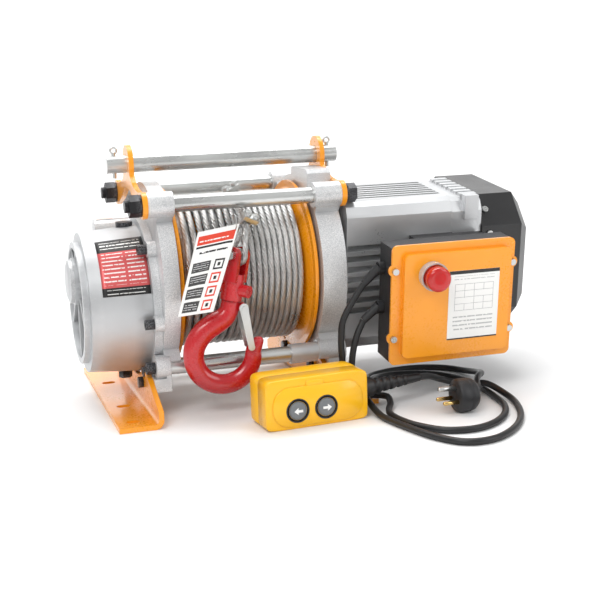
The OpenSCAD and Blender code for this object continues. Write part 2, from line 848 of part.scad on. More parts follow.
module cable_glands() {
    difference() {
        union() {
            gland(24, power_route[0]);
            gland(-16, pendant_route[0]);
        }
        motor_place() translate([138.5, -150, -60]) cube([40, 60, 76]);
        motor_place() translate([138.5, -150, 32]) cube([40, 60, 40]);
    }
}

module pendant_place() {
    translate(pendant_at) rotate([0, 0, pendant_yaw]) children();
}

module pendant_outline() {
    a = pendant_len / 2;
    h = pendant_h;
    polygon([[-a, 5], [-a + 1.5, 1.5], [-a + 5, 0], [a - 5, 0], [a - 1.5, 1.5], [a, 5], [a, h - 5],
             [a - 1.5, h - 1.5], [a - 5, h], [-a + 5, h], [-a + 1.5, h - 1.5], [-a, h - 5]]);
}

module pendant_slab(y0, y1, k) {
    translate([0, y1, pendant_h / 2]) rotate([90, 0, 0])
        linear_extrude(y1 - y0) scale([k, k]) translate([0, -pendant_h / 2]) pendant_outline();
}

module pendant_front() {
    half = pendant_w / 2;
    color("gold")
    pendant_place()
    difference() {
        union() {
            pendant_slab(-half + 4, 0, 1);
            pendant_slab(-half, -half + 4, 0.93);
        }
        pendant_slab(-half + 4, 1, 0.86);
        for (x = button_x) {
            rod_y_at(x, -half - 1, 0, button_r + 0.3, button_z);
            rod_y_at(x, -half - 1, -half + 2.5, button_r + 1.5, button_z);
        }
    }
}

module pendant_back() {
    half = pendant_w / 2;
    color("gold")
    pendant_place()
    difference() {
        union() {
            pendant_slab(0, half - 4, 1);
            pendant_slab(half - 4, half, 0.93);
        }
        pendant_slab(-1, half - 4, 0.86);
        rod_x(40, 60, 5, 0, 24, 32);
    }
}

module pendant_button(i) {
    half = pendant_w / 2;
    color("dimgray")
    pendant_place() {
        rod_y_at(button_x[i], -half - 4, -half + 6, button_r, button_z);
        rod_y_at(button_x[i], -half + 6, -2, 4, button_z, 32);
    }
}

module pendant_button_left() { pendant_button(0); }

module pendant_button_right() { pendant_button(1); }

module pendant_contacts() {
    color("ivory")
    pendant_place() translate([-30, 2, 8]) cube([58, 14, 30]);
}

module pendant_boot() {
    tip = pendant_route[len(pendant_route) - 1];
    root = pendant_at + [pendant_len / 2 * cos(pendant_yaw), pendant_len / 2 * sin(pendant_yaw), 24];
    d = tip - root;
    color("black")
    translate(root) rotate([0, acos(d[2] / norm(d)), atan2(d[1], d[0])])
        rotate_extrude($fn = 48)
            polygon([[0, -0.4], [10, -0.4], [10, 14], [9, 16], [7, 18], [7, 21], [8.6, 22], [8.6, 26],
                     [6.4, 27], [6.4, 30], [7.8, 31], [7.8, 35], [5.8, 36], [5.8, 39], [7, 40], [7, 44],
                     [5.2, 45], [5.2, 48], [6.2, 49], [6.2, 53], [4.6, 54], [4, norm(d)], [0, norm(d)]]);
}

module pendant_cord() { color("black") tube(pendant_route, cord_d / 2, 8); }

module power_cord() { color("black") tube(power_route, cord_d / 2, 8); }

module power_plug() {
    tip = power_route[len(power_route) - 1];
    d = plug_end - tip;
    body = [196, -185, 16.5];
    color("black") {
        translate(tip) rotate([0, acos(d[2] / norm(d)), atan2(d[1], d[0])])
            cylinder(h = norm(d), r1 = 4, r2 = 7, $fn = 32);
        translate(body) rotate([0, 90, 0]) {
            translate([0, 0, -10]) cylinder(h = 14, r = 16.4, $fn = 64);
            translate([0, 0, 4]) cylinder(h = 9, r1 = 16.4, r2 = 8, $fn = 64);
        }
    }
    color("goldenrod") {
        rod_x(body[0] - 28, body[0] - 10, 2.4, body[1], body[2] + 8, 24);
        for (s = [-1, 1]) rod_x(body[0] - 26, body[0] - 10, 2, body[1] + 8 * s, body[2] - 4, 24);
    }
}

rope_r = rope_d / 2;
eye_r = 8.4;
eye_dir = [sin(clevis_yaw), -cos(clevis_yaw)];

// Doubled rope from the winding, behind the front tie tube, down to the hook:
// its middle line, the turn of the pair of strands and half their spacing at each point
tail_line = [
    [14, -25, 206.5], [12.5, -43, 207], [12, -54, 201], [11, -64, 194],
    [10, -75, 189], [9, -86, 184], [5, -94, 176.5], [0.5, -99, 168]
];
tail_turn = [-60, -60, -75, -90, -105, -120, -128, -132];
tail_half = [3.3, 3.3, 3.3, 3.3, 3.3, 3.3, 4.2, 6.5];
clip_at = [1, 5];

function tail_pitch(i) = let (d = route_dir(tail_line, i)) atan2(-d[1], d[2]);
function pair_side(i) =
    let (f = tail_pitch(i), t = tail_turn[i]) [cos(t), sin(t) * cos(f), sin(t) * sin(f)];
function strand(i, s) = tail_line[i] + s * tail_half[i] * pair_side(i);
function eye_point(a) = hook_pin + [eye_r * cos(a) * eye_dir[0], eye_r * cos(a) * eye_dir[1], eye_r * sin(a)];

module rope_tail() {
    last = len(tail_line) - 1;
    route = concat(
        [for (i = [0 : last]) strand(i, 1)],
        [for (a = [180 : 36 : 360]) eye_point(a)],
        [for (i = [last : -1 : 0]) strand(i, -1)]
    );
    color("lightgray") tube(route, rope_r, 12);
    color("silver")
    translate(hook_pin) rotate([0, 0, clevis_yaw]) rotate([0, 90, 0])
        difference() {
            cylinder(h = 7, r = eye_r - rope_r - 0.2, center = true, $fn = 48);
            cylinder(h = 9, r = 4.1, center = true, $fn = 32);
        }
}

// A rope clip: its bow holds one strand, its saddle the other; x runs across the strands
module rope_clip() {
    leg = 1.7;
    span = rope_r + leg + 0.25;
    for (s = [-1, 1]) rod_x(-15, 3.3, leg, s * span, 0, 24);
    translate([3.3, 0, 0]) rotate([0, 0, -90])
        rotate_extrude(angle = 180, $fn = 48) translate([span, 0]) circle(r = leg, $fn = 24);
    difference() {
        translate([-11.5, -8.5, -5]) cube([4.8, 17, 10]);
        for (s = [-1, 1]) rod_x(-12, -6, leg, s * span, 0, 24);
    }
    for (s = [-1, 1]) difference() {
        hex_x(-14.5, -11.5, 7, s * span, 0);
        rod_x(-15, -11, leg, s * span, 0, 24);
    }
}

module rope_clips() {
    color("silver")
    for (i = clip_at)
        translate(tail_line[i]) rotate([tail_pitch(i), 0, 0]) rotate([0, 0, tail_turn[i]]) rope_clip();
}

module hook_place() {
    translate(hook_pin) rotate([0, hook_lean, 0]) children();
}

module hook_clevis() {
    color("red")
    hook_place() rotate([0, 0, clevis_yaw])
    difference() {
        union() {
            translate([0, 0, -44]) cylinder(h = 26, r = 10.5, $fn = 48);
            for (s = [-1, 1]) translate([s * 8.5 - 2.5, 0, 0]) {
                translate([0, -8, -26]) cube([5, 16, 26]);
                rod_x(0, 5, 8, 0, 0, 48);
            }
            rod_y_at(0, -19, 19, 6, -33);
        }
        rod_x(-12, 12, 3.2, 0, 0, 32);
        translate([0, 0, -45]) cylinder(h = 22, r = 5.6, $fn = 48);
        translate([0, 0, -34]) cylinder(h = 8, r = 8.2, $fn = 48);
    }
}

module clevis_pin() {
    color("silver")
    hook_place() rotate([0, 0, clevis_yaw]) {
        rod_x(-13, 13, 3.2, 0, 0, 32);
        rod_x(-16, -11, 5, 0, 0, 6);
        rod_x(11, 15, 5, 0, 0, 32);
    }
}

bowl = [2, -97];
bowl_r = 20.5;
latch_pivot = [11.7, -49.7];
latch_end = [25.5, -87.2];
latch_gap = 7.9;

module hook_outline() {
    difference() {
        translate([0, -98.5]) circle(r = 40, $fn = 96);
        translate(bowl) circle(r = bowl_r, $fn = 96);
        polygon([bowl, bowl + polar(70, 29), bowl + polar(90, 52), bowl + polar(70, 76)]);
    }
    translate(bowl + polar(33, 26)) circle(r = 7.2, $fn = 32);
    polygon([[-9.4, -48], [9.4, -48], [8, -60], [6, -77.3], [-14, -82], [-34, -78], [-24, -66], [-13, -56]]);
    translate(latch_pivot) circle(r = 4.6, $fn = 32);
}

module hook() {
    color("red")
    hook_place()
    difference() {
        union() {
            translate([0, 0, -47]) cylinder(h = 23.8, r = 5.5, $fn = 48);
            translate([0, 0, -33.9]) cylinder(h = 7.8, r = 8, $fn = 48);
            translate([0, 0, -58]) cylinder(h = 13.6, r = 9.4, $fn = 48);
            translate([0, 7.5, 0]) rotate([90, 0, 0]) linear_extrude(15) hook_outline();
        }
        rod_y_at(latch_pivot[0], -11, 11, 2.05, latch_pivot[1], 24);
    }
}

module latch_blade(y) {
    d = latch_end - latch_pivot;
    n = [-d[1], d[0]] / norm(d);
    translate([0, y + 1.5, 0]) rotate([90, 0, 0]) linear_extrude(1.5) {
        translate(latch_pivot) circle(r = 4.6, $fn = 32);
        translate(latch_end) circle(r = 3.2, $fn = 32);
        polygon([latch_pivot + 4.4 * n, latch_end + 3 * n, latch_end - 3 * n, latch_pivot - 4.4 * n]);
    }
}

module hook_latch() {
    d = latch_end - latch_pivot;
    color("lightgray")
    hook_place() {
        latch_blade(latch_gap);
        latch_blade(-latch_gap - 1.5);
        rod_y_at(latch_pivot[0], -10.5, 10.5, 2, latch_pivot[1], 24);
        translate([latch_pivot[0], 0, latch_pivot[1]]) rotate([0, 90 - atan2(d[1], d[0]) - 90, 0])
            translate([10, -latch_gap - 0.1, 0.4]) cube([17, 2 * latch_gap + 0.2, 1.6]);
    }
}

// Marking tag on a wire ring, in front of the clevis
module hook_tag() {
    corners = [[-43, 183], [-2.4, 188.5], [-33.5, 107], [-67.6, 105]];
    hole_z = tag_hinge[2] - tag_ring_r;
    color("white")
    translate([0, tag_hinge[1], tag_hinge[2]]) rotate([-5, 0, 0]) translate([0, 0, -tag_hinge[2]])
        difference() {
            translate([0, tag_t / 2, 0]) rotate([90, 0, 0]) linear_extrude(tag_t) polygon(corners);
            rod_y_at(tag_hinge[0], -3, 3, 1.6, hole_z, 24);
        }
    color("silver")
    translate(tag_hinge) rotate([0, 90, 0])
        difference() {
            cylinder(h = 1.2, r = tag_ring_r + 0.6, center = true, $fn = 48);
            cylinder(h = 2, r = tag_ring_r - 0.6, center = true, $fn = 48);
        }
}

left_frame();
right_frame();
tie_tube_front();
tie_tube_rear();
tie_rods_lower();
tie_bolts();
hanger_plate_left();
hanger_plate_right();
hanging_rod();
cotter_pins();
foot_left();
foot_right();
foot_bolts();
gearbox_housing();
gearbox_screws();
bearing_cap();
oil_plugs();
drum();
rope_winding();
output_gear();
layshaft_a();
layshaft_b();
motor_shaft();
rotor_core();
drum_bearings();
motor_bearings();
motor_frame();
stator_core();
stator_windings();
end_shield();
fan();
fan_cover();
cover_screws();
brake_disc();
brake_armature();
brake_coil();
terminal_box();
control_box_base();
control_box_lid();
contactor();
capacitor();
stop_button();
stop_button_collar();
cable_glands();
pendant_front();
pendant_back();
pendant_button_left();
pendant_button_right();
pendant_contacts();
pendant_boot();
pendant_cord();
power_cord();
power_plug();
rope_tail();
rope_clips();
hook_clevis();
clevis_pin();
hook();
hook_latch();
hook_tag();
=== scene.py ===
"""Looks for the electric wire rope hoist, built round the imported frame. Lengths are in metres."""
import math

import bpy
from mathutils import Matrix, Vector


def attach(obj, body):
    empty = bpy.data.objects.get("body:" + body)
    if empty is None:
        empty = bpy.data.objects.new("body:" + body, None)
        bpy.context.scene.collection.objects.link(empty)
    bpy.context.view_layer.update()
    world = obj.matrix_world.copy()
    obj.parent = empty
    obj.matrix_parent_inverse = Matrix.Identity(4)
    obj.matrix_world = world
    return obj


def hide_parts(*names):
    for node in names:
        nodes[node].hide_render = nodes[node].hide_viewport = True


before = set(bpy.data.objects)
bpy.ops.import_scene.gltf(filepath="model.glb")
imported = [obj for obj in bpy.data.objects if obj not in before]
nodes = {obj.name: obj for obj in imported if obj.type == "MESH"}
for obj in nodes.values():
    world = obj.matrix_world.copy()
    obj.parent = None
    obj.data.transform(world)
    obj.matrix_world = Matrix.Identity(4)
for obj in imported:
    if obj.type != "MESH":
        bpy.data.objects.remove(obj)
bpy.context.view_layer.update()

MM = 0.001
AXIS_Z = 0.127


def shift(x, y, z):
    return Matrix.Translation((x, y, z))


def spin(degrees, axis):
    return Matrix.Rotation(math.radians(degrees), 4, axis)


MOTOR = shift(0, 0, AXIS_Z) @ spin(7, "X")
PENDANT = shift(0.0486, -0.1522, 0) @ spin(4.8, "Z")
HOOK_PIN = Vector((-0.003, -0.101, 0.157))
HOOK = Matrix.Translation(HOOK_PIN) @ spin(11, "Y")
CORD_D = 0.0065

# Routes of the two cords, in millimetres, the same points as the part's source
POWER_ROUTE = [
    (119, -119.5, 121.5), (107, -118, 104), (97, -118, 86), (94.5, -118, 68), (95, -118, 48),
    (96.5, -116, 29), (102, -110, 14), (112, -100, 8.6), (124, -85, 8.4), (137, -65, 8.4),
    (149, -43, 4.2), (166, -29, 3.4), (190, -22, 3.4), (218, -23, 3.4), (243, -36, 3.4),
    (256, -58, 4.2), (259, -80, 7.6), (255, -100, 12), (247, -116, 15.5), (239, -127, 17),
    (232, -138, 16), (226, -152, 13),
]
PENDANT_ROUTE = [
    (119, -116, 84), (110.5, -118, 68), (105.5, -119.5, 50), (104.5, -120, 33), (108, -121, 19),
    (116, -122, 10.8), (127, -124, 8.5), (136, -133, 8.3), (134, -147, 6), (127, -161, 3.6),
    (122.5, -178, 3.4), (125, -200, 3.4), (133, -222, 3.4), (150, -243, 3.4), (176, -249, 3.4),
    (201, -239, 3.4), (222, -218, 3.4), (236, -190, 3.4), (240.5, -160, 3.4), (243, -133, 3.4),
    (243, -108, 3.4), (238, -84, 3.4), (225, -60, 3.4), (202, -44, 3.4), (178, -39, 3.4),
    (159, -48, 5.2), (146, -66, 8.4), (136, -88, 8.6), (126, -107, 12.5), (118, -121, 16.8),
    (113.5, -135, 12), (112, -148, 8.4), (112.5, -180, 3.4), (120, -216, 3.4), (133, -256, 3.4),
    (152, -281, 3.4), (180, -282, 3.4), (210, -261, 3.4), (234, -228, 3.4), (249, -190, 3.4),
    (252, -163, 5), (244, -137, 10.4), (232, -124, 9), (218, -117, 9.5), (203, -114, 14),
    (187, -121, 20.5), (171, -132, 24),
]


# ---- Materials ----

def add(tree, kind, inputs=None, **settings):
    """A shader node with its settings, and its inputs set or linked."""
    made = tree.nodes.new("ShaderNode" + kind)
    for key, value in settings.items():
        setattr(made, key, value)
    for key, value in (inputs or {}).items():
        if isinstance(value, bpy.types.NodeSocket):
            tree.links.new(value, made.inputs[key])
        else:
            made.inputs[key].default_value = value
    return made


def spread(tree, value, low, high, start=0.3, end=0.7):
    """A noise value between start and end, mapped to low and high."""
    limits = {"Value": value, "From Min": start, "From Max": end, "To Min": low, "To Max": high}
    return add(tree, "MapRange", limits).outputs["Result"]


def mix(tree, factor, first, second):
    return add(tree, "MixRGB", {"Fac": factor, "Color1": first, "Color2": second}).outputs["Color"]


def rgba(color):
    return (*color, 1.0)


def new_material(name):
    made = bpy.data.materials.new(name)
    made.use_nodes = True
    return made, made.node_tree, made.node_tree.nodes["Principled BSDF"]


def material(name, color, rough, metal=0.0, grain=900.0, bump=0.12, mottle=0.12, edge=0.0005,
             wear=None, coat=0.0, stretch=(1, 1, 1), depth=0.0002, hollow_shade=0.0):
    """Colour that varies broadly, painted shade in hollows, a fine grain in bump and gloss, soft edges and
    worn corners.
    """
    made, tree, shader = new_material(name)
    place = add(tree, "TexCoord").outputs["Object"]
    drawn = add(tree, "Mapping", {"Vector": place, "Scale": stretch}).outputs["Vector"]
    broad = add(tree, "TexNoise", {"Vector": place, "Scale": 16.0, "Detail": 6.0}).outputs["Fac"]
    fine = add(tree, "TexNoise", {"Vector": drawn, "Scale": grain, "Detail": 4.0}).outputs["Fac"]
    shade = spread(tree, broad, 1 - mottle, 1 + mottle / 2)
    base = add(tree, "VectorMath", {"Vector": color, "Scale": shade}, operation="SCALE").outputs["Vector"]
    corner = add(tree, "NewGeometry").outputs["Pointiness"]
    # Painted shade: hollows, where pointiness is low, darken towards a quarter of the colour.
    if hollow_shade:
        painted_hollow_shade = spread(tree, corner, hollow_shade, 0.0, 0.40, 0.50)
        base = mix(tree, painted_hollow_shade, base, rgba([c * 0.25 for c in color]))
    if wear:
        worn = spread(tree, corner, 0.0, 1.0, 0.53, 0.62)
        patchy = spread(tree, fine, 0.0, 1.0, 0.42, 0.60)
        spots = add(tree, "Math", {0: worn, 1: patchy}, operation="MULTIPLY").outputs["Value"]
        base = mix(tree, spots, base, rgba(wear))
    tree.links.new(base, shader.inputs["Base Color"])
    patches = spread(tree, broad, -0.06, 0.08)
    grains = spread(tree, fine, rough - 0.05, rough + 0.05)
    gloss = add(tree, "Math", {0: patches, 1: grains}, operation="ADD").outputs["Value"]
    tree.links.new(gloss, shader.inputs["Roughness"])
    soft = add(tree, "Bevel", {"Radius": edge}, samples=4).outputs["Normal"]
    raised = add(tree, "Bump", {"Height": fine, "Strength": bump, "Distance": depth, "Normal": soft})
    tree.links.new(raised.outputs["Normal"], shader.inputs["Normal"])
    shader.inputs["Metallic"].default_value = metal
    shader.inputs["Coat Weight"].default_value = coat
    shader.inputs["Coat Roughness"].default_value = 0.12
    return made


casting = material("casting_silver", (0.56, 0.57, 0.58), 0.42, 0.55, grain=1300, bump=0.35, mottle=0.10,
                   edge=0.0009, wear=(0.78, 0.78, 0.78), hollow_shade=0.5)
motor_silver = material("motor_silver", (0.60, 0.61, 0.62), 0.36, 0.65, grain=700, bump=0.18, mottle=0.08,
                        edge=0.0008, hollow_shade=0.6)
orange = material("orange_paint", (0.93, 0.34, 0.008), 0.30, 0.0, grain=420, bump=0.04, mottle=0.05,
                  edge=0.0006, coat=0.5)
zinc = material("zinc_plate", (0.66, 0.67, 0.66), 0.27, 0.95, grain=300, bump=0.05, mottle=0.14,
                stretch=(0.06, 1, 1), edge=0.0004)
zinc_small = material("zinc_fittings", (0.62, 0.63, 0.62), 0.30, 0.95, grain=900, bump=0.10, mottle=0.18,
                      edge=0.0003, hollow_shade=0.4)
black_steel = material("black_oxide", (0.018, 0.018, 0.02), 0.38, 0.5, grain=1200, bump=0.12, mottle=0.25,
                       edge=0.0005, wear=(0.16, 0.16, 0.17))
black_cover = material("black_cover", (0.014, 0.014, 0.015), 0.36, 0.0, grain=1500, bump=0.16, mottle=0.2,
                       edge=0.0012, coat=0.15)
black_plastic = material("black_plastic", (0.016, 0.016, 0.018), 0.46, 0.0, grain=1700, bump=0.22,
                         mottle=0.2, edge=0.0008)
machine_steel = material("machined_steel", (0.5, 0.51, 0.53), 0.28, 1.0, grain=500, bump=0.08,
                         stretch=(0.1, 1, 1), edge=0.0002)
copper = material("copper_wire", (0.55, 0.22, 0.08), 0.35, 0.9, grain=800, bump=0.4, stretch=(0.2, 1, 1))
pale_plastic = material("pale_plastic", (0.78, 0.76, 0.68), 0.45, grain=1200, bump=0.12, edge=0.0006)
yellow = material("yellow_plastic", (0.95, 0.50, 0.005), 0.30, grain=1400, bump=0.08, mottle=0.06, edge=0.001,
                  coat=0.3)
red_paint = material("red_paint", (0.56, 0.006, 0.012), 0.26, 0.0, grain=260, bump=0.22, mottle=0.22,
                     edge=0.0009, coat=0.6, depth=0.0005, wear=(0.35, 0.01, 0.01), hollow_shade=0.6)
rubber = material("rubber", (0.012, 0.012, 0.013), 0.42, grain=1500, bump=0.15, mottle=0.3, edge=0.0004)
grey_cap = material("grey_cap", (0.16, 0.17, 0.18), 0.42, grain=1500, bump=0.15, edge=0.0006)
white_paint = material("white_print", (0.85, 0.85, 0.84), 0.5, grain=1500, bump=0.05, edge=0.0001)
brass = material("brass", (0.75, 0.52, 0.20), 0.22, 1.0, grain=700, bump=0.06, stretch=(0.1, 1, 1))


def clear_plastic(name, color, through, rough):
    made, tree, shader = new_material(name)
    place = add(tree, "TexCoord").outputs["Object"]
    fine = add(tree, "TexNoise", {"Vector": place, "Scale": 500.0, "Detail": 3.0}).outputs["Fac"]
    tree.links.new(spread(tree, fine, rough, rough + 0.12), shader.inputs["Roughness"])
    raised = add(tree, "Bump", {"Height": fine, "Strength": 0.08, "Distance": 0.0002})
    tree.links.new(raised.outputs["Normal"], shader.inputs["Normal"])
    shader.inputs["Base Color"].default_value = rgba(color)
    shader.inputs["Transmission Weight"].default_value = through
    shader.inputs["IOR"].default_value = 1.46
    shader.inputs["Coat Weight"].default_value = 0.6
    return made


red_clear = clear_plastic("red_button", (0.75, 0.012, 0.012), 0.35, 0.10)
clear = clear_plastic("clear_collar", (0.88, 0.89, 0.90), 0.55, 0.12)


def rope_material():
    """Bright steel wires: fine slanting lines round each strand, with painted shade darkening the grooves
    between strands.
    """
    made, tree, shader = new_material("wire_rope")
    uv = add(tree, "UVMap").outputs["UV"]
    wires = add(tree, "Mapping", {"Vector": uv, "Scale": (157.0, 15.1, 0.0)}).outputs["Vector"]
    wave = add(tree, "TexWave", {"Vector": wires, "Scale": 1.0, "Distortion": 0.4},
               bands_direction="DIAGONAL")
    place = add(tree, "TexCoord").outputs["Object"]
    broad = add(tree, "TexNoise", {"Vector": place, "Scale": 45.0, "Detail": 5.0}).outputs["Fac"]
    # Painted shade: the grooves between strands, where pointiness is low, turn near black.
    groove_shade = spread(tree, add(tree, "NewGeometry").outputs["Pointiness"], 0.85, 0.0, 0.40, 0.50)
    tone = mix(tree, spread(tree, broad, 0, 1), rgba((0.50, 0.50, 0.49)), rgba((0.72, 0.72, 0.71)))
    lined = mix(tree, spread(tree, wave.outputs["Fac"], 0.45, 0.0, 0.0, 0.5), tone, rgba((0.16, 0.16, 0.16)))
    tree.links.new(mix(tree, groove_shade, lined, rgba((0.07, 0.07, 0.07))), shader.inputs["Base Color"])
    tree.links.new(spread(tree, broad, 0.26, 0.42), shader.inputs["Roughness"])
    raised = add(tree, "Bump", {"Height": wave.outputs["Fac"], "Strength": 0.55, "Distance": 0.0003})
    tree.links.new(raised.outputs["Normal"], shader.inputs["Normal"])
    shader.inputs["Metallic"].default_value = 0.85
    return made


wire_rope = rope_material()


def band(tree, value, low, high):
    """1 where the value lies between low and high, else 0."""
    above = add(tree, "Math", {0: value, 1: low}, operation="GREATER_THAN").outputs["Value"]
    below = add(tree, "Math", {0: value, 1: high}, operation="LESS_THAN").outputs["Value"]
    return add(tree, "Math", {0: above, 1: below}, operation="MULTIPLY").outputs["Value"]


def label_material(name, ground, zones, rough=0.35, metal=0.0):
    """Printed label: zones of (u0, v0, u1, v1, colour, rows); rows above 0 break a zone into dashes."""
    made, tree, shader = new_material(name)
    uv = add(tree, "SeparateXYZ", {"Vector": add(tree, "UVMap").outputs["UV"]})
    u, v = uv.outputs["X"], uv.outputs["Y"]
    base = None
    for u0, v0, u1, v1, color, rows in zones:
        inside = add(tree, "Math", {0: band(tree, u, u0, u1), 1: band(tree, v, v0, v1)},
                     operation="MULTIPLY").outputs["Value"]
        if rows:
            lines = add(tree, "Math", {0: v, 1: rows / (v1 - v0)}, operation="MULTIPLY").outputs["Value"]
            step = add(tree, "Math", {0: lines}, operation="FRACT").outputs["Value"]
            inside = add(tree, "Math", {0: inside, 1: band(tree, step, 0.3, 0.62)},
                         operation="MULTIPLY").outputs["Value"]
            spots = add(tree, "TexNoise", {"Vector": add(tree, "UVMap").outputs["UV"], "Scale": 22.0})
            inside = add(tree, "Math", {0: inside, 1: band(tree, spots.outputs["Fac"], 0.42, 2.0)},
                         operation="MULTIPLY").outputs["Value"]
        base = mix(tree, inside, rgba(ground) if base is None else base, rgba(color))
    tree.links.new(base, shader.inputs["Base Color"])
    place = add(tree, "TexCoord").outputs["Object"]
    fine = add(tree, "TexNoise", {"Vector": place, "Scale": 400.0, "Detail": 3.0}).outputs["Fac"]
    tree.links.new(spread(tree, fine, rough, rough + 0.12), shader.inputs["Roughness"])
    raised = add(tree, "Bump", {"Height": fine, "Strength": 0.06, "Distance": 0.0002})
    tree.links.new(raised.outputs["Normal"], shader.inputs["Normal"])
    shader.inputs["Metallic"].default_value = metal
    return made


# ---- Mesh helpers ----

def piece(name, points, faces, finish, body, uvs=None, smooth=True, place=None):
    """A mesh object in the row frame that rides on a body; place moves it from its own frame."""
    mesh = bpy.data.meshes.new(name)
    moved = [place @ Vector(p) for p in points] if place else points
    mesh.from_pydata(moved, [], faces)
    if uvs:
        layer = mesh.uv_layers.new(name="UVMap")
        for loop in mesh.loops:
            layer.data[loop.index].uv = uvs[loop.vertex_index]
    mesh.polygons.foreach_set("use_smooth", [smooth] * len(mesh.polygons))
    mesh.materials.append(finish)
    mesh.validate()
    made = bpy.data.objects.new(name, mesh)
    bpy.context.scene.collection.objects.link(made)
    if body:
        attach(made, body)
    return made


def loft(rings, closed_ends=True):
    """Points and faces through rings that all have the same number of points."""
    count = len(rings[0])
    points = [p for ring in rings for p in ring]
    faces = []
    for i in range(len(rings) - 1):
        for k in range(count):
            j = (k + 1) % count
            faces.append((i * count + k, i * count + j, (i + 1) * count + j, (i + 1) * count + k))
    if closed_ends:
        faces.append(tuple(range(count - 1, -1, -1)))
        faces.append(tuple((len(rings) - 1) * count + k for k in range(count)))
    return points, faces


def turned(profile, sides=48):
    """Points and faces of a shape turned about Z, from (radius, height) points."""
    rings = []
    for radius, height in profile:
        turns = [2 * math.pi * k / sides for k in range(sides)]
        rings.append([(radius * math.cos(t), radius * math.sin(t), height) for t in turns])
    return loft(rings)


def smooth_line(points, steps):
    """A Catmull-Rom line through the points."""
    pts = [Vector(p) for p in points]
    pts = [pts[0] * 2 - pts[1]] + pts + [pts[-1] * 2 - pts[-2]]
    line = []
    for i in range(1, len(pts) - 2):
        a, b, c, d = pts[i - 1:i + 3]
        for k in range(steps):
            t = k / steps
            line.append(0.5 * (2 * b + (c - a) * t + (2 * a - 5 * b + 4 * c - d) * t * t
                               + (3 * b - a - 3 * c + d) * t ** 3))
    return line + [pts[-2]]


def carried_frames(line):
    """Direction, side and upright at each point of a line, with no twist."""
    frames = []
    side = None
    for i, point in enumerate(line):
        along = (line[min(i + 1, len(line) - 1)] - line[max(i - 1, 0)]).normalized()
        start = side if side is not None else Vector((0.31, 0.74, 0.6))
        side = (start - along * start.dot(along)).normalized()
        frames.append((along, side, side.cross(along)))
    return frames


def swept(line, radii, sides=24, flat=1.0, across=None):
    """Rings round a line; flat squeezes them along a fixed direction."""
    rings = []
    for point, radius, (along, side, up) in zip(line, radii, carried_frames(line)):
        if across is not None:
            side = (across - along * across.dot(along)).normalized()
            up = side.cross(along)
        turns = [2 * math.pi * k / sides for k in range(sides)]
        rings.append([point + side * (radius * flat * math.cos(t)) + up * (radius * math.sin(t))
                      for t in turns])
    return rings


# ---- Camera ----

def make_camera():
    az, el, roll = (math.radians(a) for a in (-17.27, 11.14, -1.81))
    ahead = Vector((-math.sin(az) * math.cos(el), math.cos(az) * math.cos(el), -math.sin(el)))
    right = Vector((math.cos(az), math.sin(az), 0))
    up = right.cross(ahead)
    tilted = right * math.cos(roll) + up * math.sin(roll)
    top = up * math.cos(roll) - right * math.sin(roll)
    lens = bpy.data.cameras.new("camera")
    lens.lens = 71.4
    lens.sensor_width = 36
    made = bpy.data.objects.new("camera", lens)
    bpy.context.scene.collection.objects.link(made)
    turn = Matrix((tilted, top, -ahead)).transposed().to_4x4()
    made.matrix_world = Matrix.Translation(Vector((0.090, 0, 0.0864)) - ahead * 1.280) @ turn
    bpy.context.scene.camera = made


make_camera()


# ---- Cords ----

def make_cord(name, route, node):
    line = smooth_line([Vector(p) * MM for p in route], 6)
    for p in line:
        p.z = max(p.z, CORD_D / 2 + 0.00005)
    data = bpy.data.curves.new(name, "CURVE")
    data.dimensions = "3D"
    data.bevel_depth = CORD_D / 2
    data.bevel_resolution = 5
    data.use_fill_caps = True
    spline = data.splines.new("POLY")
    spline.points.add(len(line) - 1)
    for p, q in zip(spline.points, line):
        p.co = (*q, 1)
    data.materials.append(rubber)
    made = bpy.data.objects.new(name, data)
    bpy.context.scene.collection.objects.link(made)
    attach(made, "root")
    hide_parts(node)
    return made, line


def make_plug():
    """Round three-pin plug on its side, with a ribbed tapered strain relief."""
    tip = Vector(POWER_ROUTE[-1]) * MM
    end = Vector((0.205, -0.181, 0.0155))
    line = smooth_line([tip, tip.lerp(end, 0.35), tip.lerp(end, 0.7), end], 14)
    radii = []
    for i in range(len(line)):
        t = i / (len(line) - 1)
        radii.append(0.0038 + 0.0032 * t + (0.0006 if (i // 3) % 2 and i < 36 else 0))
    points, faces = loft(swept(line, radii, 24))
    sleeve = piece("plug_sleeve", points, faces, rubber, "root")
    profile = [(0.0, 0), (0.0150, 0), (0.0160, 0.0012), (0.0164, 0.003), (0.0164, 0.0105), (0.0156, 0.0115),
               (0.0156, 0.0125), (0.0162, 0.0138), (0.0150, 0.018), (0.0115, 0.0215), (0.008, 0.0228),
               (0.0, 0.023)]
    middle = Vector((0.186, -0.185, 0.0165))
    place = Matrix.Translation(middle) @ spin(90, "Y")
    points, faces = turned(profile, 64)
    body = piece("plug_body", points, faces, black_plastic, "root", place=place)
    pins = []
    shapes = [("earth", 2.4, 18, 0, 8, zinc_small), ("line", 2.0, 16, -8, -4, brass),
              ("neutral", 2.0, 16, 8, -4, brass)]
    for name, radius, length, dy, dz, finish in shapes:
        r, n = radius * MM, length * MM
        profile = [(0, -n), (r * 0.55, -n), (r * 0.85, -n + 0.0006), (r, -n + 0.0016), (r, 0.001), (0, 0.001)]
        points, faces = turned(profile, 24)
        put = shift(middle.x, middle.y + dy * MM, middle.z + dz * MM) @ spin(90, "Y")
        pins.append(piece("plug_pin_" + name, points, faces, finish, "root", place=put))
    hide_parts("power_plug")
    return [body, sleeve] + pins


plug_pieces = make_plug()
power_cord, power_line = make_cord("power_cord_tube", POWER_ROUTE, "power_cord")
pendant_cord, pendant_line = make_cord("pendant_cord_tube", PENDANT_ROUTE, "pendant_cord")


# ---- Wire rope ----

